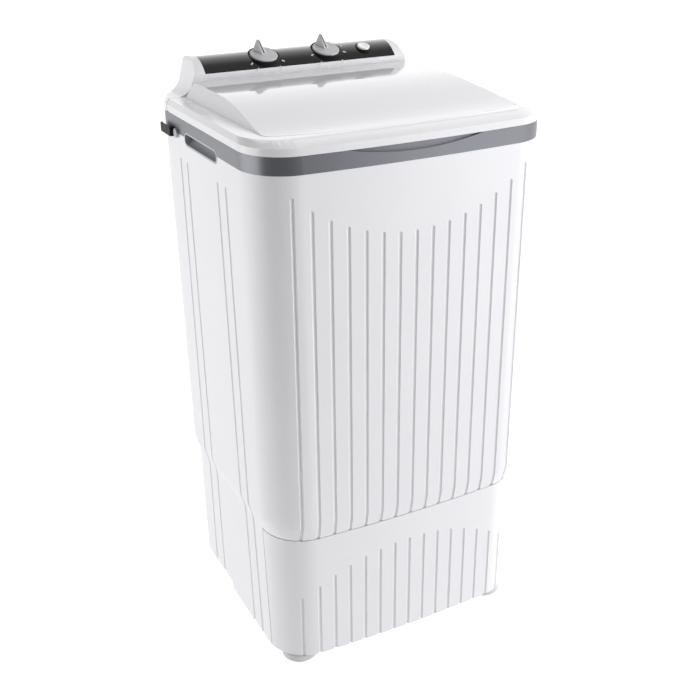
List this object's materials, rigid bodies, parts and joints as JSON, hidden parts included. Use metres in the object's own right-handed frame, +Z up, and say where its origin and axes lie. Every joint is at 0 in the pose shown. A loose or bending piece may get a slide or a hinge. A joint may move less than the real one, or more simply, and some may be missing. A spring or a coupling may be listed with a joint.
{
  "type": "top load washing machine",
  "caption": "Single-tub top load washing machine with a ribbed plastic cabinet, hinged lid, rear control housing with dial knobs, pulsator drive and drain valve.",
  "frame": {"origin": "on the floor under the middle of the cabinet", "axes": "+Z up, the front faces -Y, +X is the right-hand side seen from the front"},
  "size_m": [0.4375, 0.399, 0.8531],
  "materials": {
    "white_cabinet": "satin moulded white",
    "lid_white": "semi-gloss white",
    "lid_gloss": "high gloss white",
    "grey_band": "satin grey",
    "handle_grey": "dark grey",
    "black_plastic": "satin black",
    "fascia_black": "high gloss black",
    "knob_white": "semi-gloss white",
    "button_grey": "satin light grey",
    "base_plastic": "satin white",
    "foot_rubber": "light grey",
    "tub_plastic": "satin pale grey",
    "filter_plastic": "pale blue",
    "pulsator_plastic": "semi-gloss pale grey",
    "inner_plastic": "natural",
    "rubber_seal": "black",
    "zinc_steel": "zinc plated",
    "cast_aluminium": "cast",
    "motor_steel": "laminated",
    "bronze": "sintered bronze",
    "capacitor_case": "drawn can"
  },
  "bodies": {
    "cabinet": {"cabinet_shell": "white_cabinet", "front_kick_panel": "white_cabinet", "base_plate": "base_plastic", "feet": "foot_rubber", "back_cover": "base_plastic", "back_cover_screws": "zinc_steel", "top_ring": "grey_band", "side_handle_left": "handle_grey", "side_handle_right": "handle_grey", "hose_hook": "black_plastic", "hose_hook_boss": "handle_grey", "wash_tub": "tub_plastic", "deck_screws": "zinc_steel", "drain_grille": "tub_plastic", "drain_sump": "inner_plastic", "drain_valve_body": "inner_plastic", "overflow_pipe": "inner_plastic", "drain_spring": "zinc_steel", "bearing_housing": "cast_aluminium", "housing_bolts": "zinc_steel", "bearing_bushes": "bronze", "shaft_seal": "rubber_seal", "drive_frame": "zinc_steel", "frame_posts": "zinc_steel", "motor_studs": "zinc_steel", "motor_dampers": "rubber_seal", "motor_housing": "cast_aluminium", "motor_stator": "motor_steel", "drive_belt": "rubber_seal", "capacitor": "capacitor_case", "capacitor_clip": "zinc_steel", "terminal_block": "black_plastic", "cord_gland": "black_plastic", "hinge_brackets": "zinc_steel", "control_housing": "lid_white", "control_fascia": "fascia_black", "knob_wells": "black_plastic", "timer_unit": "inner_plastic", "selector_switch": "inner_plastic", "button_bezel": "black_plastic", "button_spring": "zinc_steel", "button_switch": "inner_plastic"},
    "lid": {"lid_rim": "lid_white", "lid_panel": "lid_gloss", "hinge_pins": "zinc_steel"},
    "wash_timer": {"wash_timer_knob": "knob_white", "timer_shaft": "inner_plastic"},
    "selector": {"selector_knob": "knob_white", "selector_shaft": "inner_plastic"},
    "button": {"push_button": "button_grey"},
    "drain_plunger": {"drain_plunger": "rubber_seal", "drain_pull_rod": "inner_plastic"},
    "wash_drive": {"pulsator": "pulsator_plastic", "pulsator_cap": "pulsator_plastic", "pulsator_screw": "zinc_steel", "drive_shaft": "zinc_steel", "drive_pulley": "cast_aluminium"},
    "motor_drive": {"motor_rotor": "motor_steel", "motor_pulley": "cast_aluminium"},
    "filter": {"lint_filter": "filter_plastic"}
  },
  "joints": [
    {"name": "lid_hinge", "type": "hinge", "parent": "cabinet", "child": "lid", "pos_m": [0, 0.118, 0.8], "axis": [-1, 0, 0], "range_deg": [0, 88]},
    {"name": "wash_timer_turn", "type": "hinge", "parent": "cabinet", "child": "wash_timer", "pos_m": [-0.055, 0.15, 0.8306], "axis": [0, 0.3322, -0.9432], "range_deg": [0, 300]},
    {"name": "selector_turn", "type": "hinge", "parent": "cabinet", "child": "selector", "pos_m": [0.046, 0.15, 0.8306], "axis": [0, 0.3322, -0.9432], "range_deg": [0, 90]},
    {"name": "button_press", "type": "slide", "parent": "cabinet", "child": "button", "axis": [0, 0.3322, -0.9432], "range_m": [0, 0.003], "stiffness_N_per_m": 300, "springref_m": -0.002, "deforming": ["button_spring"]},
    {"name": "drain_lift", "type": "slide", "parent": "cabinet", "child": "drain_plunger", "axis": [0, 0, 1], "range_m": [0, 0.008], "deforming": ["drain_spring"]},
    {"name": "pulsator_spin", "type": "hinge", "parent": "cabinet", "child": "wash_drive", "pos_m": [0, -0.0355, 0.3], "axis": [0, 0, 1], "continuous": true},
    {"name": "motor_spin", "type": "hinge", "parent": "cabinet", "child": "motor_drive", "pos_m": [-0.085, 0.06, 0.18], "axis": [0, 0, 1], "continuous": true},
    {"name": "filter_slide", "type": "slide", "parent": "cabinet", "child": "filter", "axis": [0, 0, 1], "range_m": [0, 0.04]}
  ],
  "couplings": [
    {"joint": "selector_turn", "follows": "drain_lift", "rad_per_m": 196.3},
    {"joint": "motor_spin", "follows": "pulsator_spin", "ratio": 4.6667}
  ]
}
